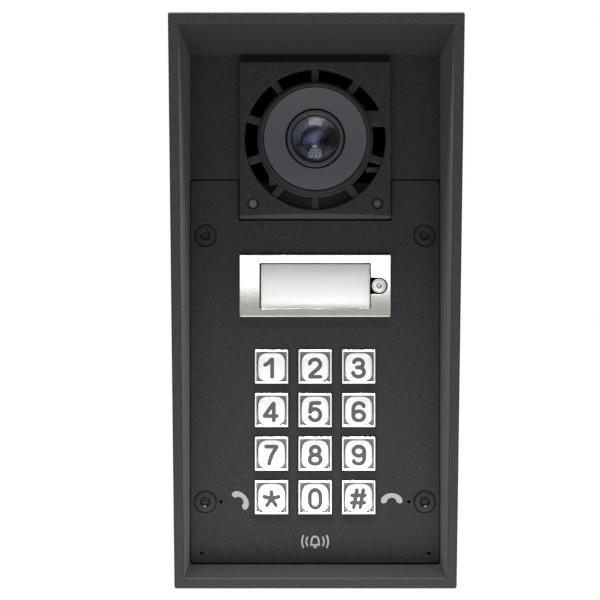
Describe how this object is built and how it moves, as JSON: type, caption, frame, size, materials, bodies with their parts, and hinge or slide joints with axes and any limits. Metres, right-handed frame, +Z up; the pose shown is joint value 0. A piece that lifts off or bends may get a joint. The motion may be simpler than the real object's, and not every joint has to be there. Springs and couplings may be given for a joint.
{
  "type": "door intercom panel",
  "caption": "Wall-mounted video door station: hooded cast housing with a keypad, call button, camera and speaker.",
  "frame": {"origin": "centre of the flat back face that lies against the wall", "axes": "+Z up; +X to the right of a visitor who faces the panel; +Y into the wall, so the visitor stands on the -Y side"},
  "size_m": [0.109, 0.083, 0.217],
  "materials": {
    "coated_casting": "fine dark grey powder coat on die-cast aluminium",
    "coated_sheet": "fine dark grey powder coat on aluminium sheet",
    "raw_sheet": "plain milled",
    "stainless_frame": "brushed along its length",
    "polished_key": "satin chrome with a dark engraved sign",
    "black_steel": "black oxide",
    "zinc_steel": "bright zinc plate",
    "spring_steel": "drawn wire",
    "black_plastic": "fine satin",
    "grey_window": "smooth smoked bluish grey",
    "white_plastic": "translucent light guide",
    "clear_plastic": "clear polycarbonate",
    "optical_glass": "polished and coated",
    "infrared_lens": "dark red filter",
    "card": "blank white name card",
    "black_rubber": "soft seal",
    "silicone": "translucent keypad mat",
    "circuit_board": "green solder mask",
    "ferrite": "ground magnet",
    "speaker_paper": "coated paper cone",
    "ribbon": "flat flexible cable"
  },
  "bodies": {
    "station": {"housing": "coated_casting", "back_plate": "raw_sheet", "back_seal": "black_rubber", "cable_grommet": "black_rubber", "panel_screw_upper_left": "black_steel", "panel_screw_upper_right": "black_steel", "panel_screw_lower_left": "black_steel", "panel_screw_lower_right": "black_steel", "back_screw_upper_left": "zinc_steel", "back_screw_upper_right": "zinc_steel", "back_screw_lower_left": "zinc_steel", "back_screw_lower_right": "zinc_steel", "front_panel": "coated_sheet", "panel_gasket": "black_rubber", "microphone_left": "black_rubber", "microphone_right": "black_rubber", "keypad_mat": "silicone", "keypad_board": "circuit_board", "call_spring_left": "spring_steel", "call_spring_right": "spring_steel", "call_switch": "black_plastic", "camera_window": "grey_window", "lens_retaining_ring": "black_plastic", "lens_dome": "optical_glass", "inner_lens": "optical_glass", "lens_barrel": "black_plastic", "camera_cup": "black_plastic", "camera_board": "circuit_board", "light_sensor": "white_plastic", "infrared_lamp": "infrared_lens", "sound_mesh": "black_plastic", "speaker_gasket": "black_rubber", "speaker_basket": "black_steel", "speaker_cone": "speaker_paper", "speaker_magnet": "ferrite", "main_board": "circuit_board", "network_jack": "zinc_steel", "terminal_block": "black_plastic", "relay": "black_plastic", "heat_sink": "raw_sheet", "keypad_ribbon": "ribbon", "camera_flex": "ribbon", "speaker_lead": "black_rubber"},
    "call_button": {"call_button_frame": "stainless_frame", "name_window": "clear_plastic", "name_card": "card", "call_button_carrier": "white_plastic", "name_window_screw": "zinc_steel"},
    "key_1": {"key_1": "polished_key"},
    "key_2": {"key_2": "polished_key"},
    "key_3": {"key_3": "polished_key"},
    "key_4": {"key_4": "polished_key"},
    "key_5": {"key_5": "polished_key"},
    "key_6": {"key_6": "polished_key"},
    "key_7": {"key_7": "polished_key"},
    "key_8": {"key_8": "polished_key"},
    "key_9": {"key_9": "polished_key"},
    "key_star": {"key_star": "polished_key"},
    "key_0": {"key_0": "polished_key"},
    "key_hash": {"key_hash": "polished_key"}
  },
  "joints": [
    {"name": "call_button_press", "type": "slide", "parent": "station", "child": "call_button", "axis": [0, 1, 0], "range_m": [0, 0.001], "stiffness_N_per_m": 2500, "deforming": ["call_spring_left", "call_spring_right"]},
    {"name": "key_1_press", "type": "slide", "parent": "station", "child": "key_1", "axis": [0, 1, 0], "range_m": [0, 0.0012], "stiffness_N_per_m": 1500},
    {"name": "key_2_press", "type": "slide", "parent": "station", "child": "key_2", "axis": [0, 1, 0], "range_m": [0, 0.0012], "stiffness_N_per_m": 1500},
    {"name": "key_3_press", "type": "slide", "parent": "station", "child": "key_3", "axis": [0, 1, 0], "range_m": [0, 0.0012], "stiffness_N_per_m": 1500},
    {"name": "key_4_press", "type": "slide", "parent": "station", "child": "key_4", "axis": [0, 1, 0], "range_m": [0, 0.0012], "stiffness_N_per_m": 1500},
    {"name": "key_5_press", "type": "slide", "parent": "station", "child": "key_5", "axis": [0, 1, 0], "range_m": [0, 0.0012], "stiffness_N_per_m": 1500},
    {"name": "key_6_press", "type": "slide", "parent": "station", "child": "key_6", "axis": [0, 1, 0], "range_m": [0, 0.0012], "stiffness_N_per_m": 1500},
    {"name": "key_7_press", "type": "slide", "parent": "station", "child": "key_7", "axis": [0, 1, 0], "range_m": [0, 0.0012], "stiffness_N_per_m": 1500},
    {"name": "key_8_press", "type": "slide", "parent": "station", "child": "key_8", "axis": [0, 1, 0], "range_m": [0, 0.0012], "stiffness_N_per_m": 1500},
    {"name": "key_9_press", "type": "slide", "parent": "station", "child": "key_9", "axis": [0, 1, 0], "range_m": [0, 0.0012], "stiffness_N_per_m": 1500},
    {"name": "key_star_press", "type": "slide", "parent": "station", "child": "key_star", "axis": [0, 1, 0], "range_m": [0, 0.0012], "stiffness_N_per_m": 1500},
    {"name": "key_0_press", "type": "slide", "parent": "station", "child": "key_0", "axis": [0, 1, 0], "range_m": [0, 0.0012], "stiffness_N_per_m": 1500},
    {"name": "key_hash_press", "type": "slide", "parent": "station", "child": "key_hash", "axis": [0, 1, 0], "range_m": [0, 0.0012], "stiffness_N_per_m": 1500}
  ]
}
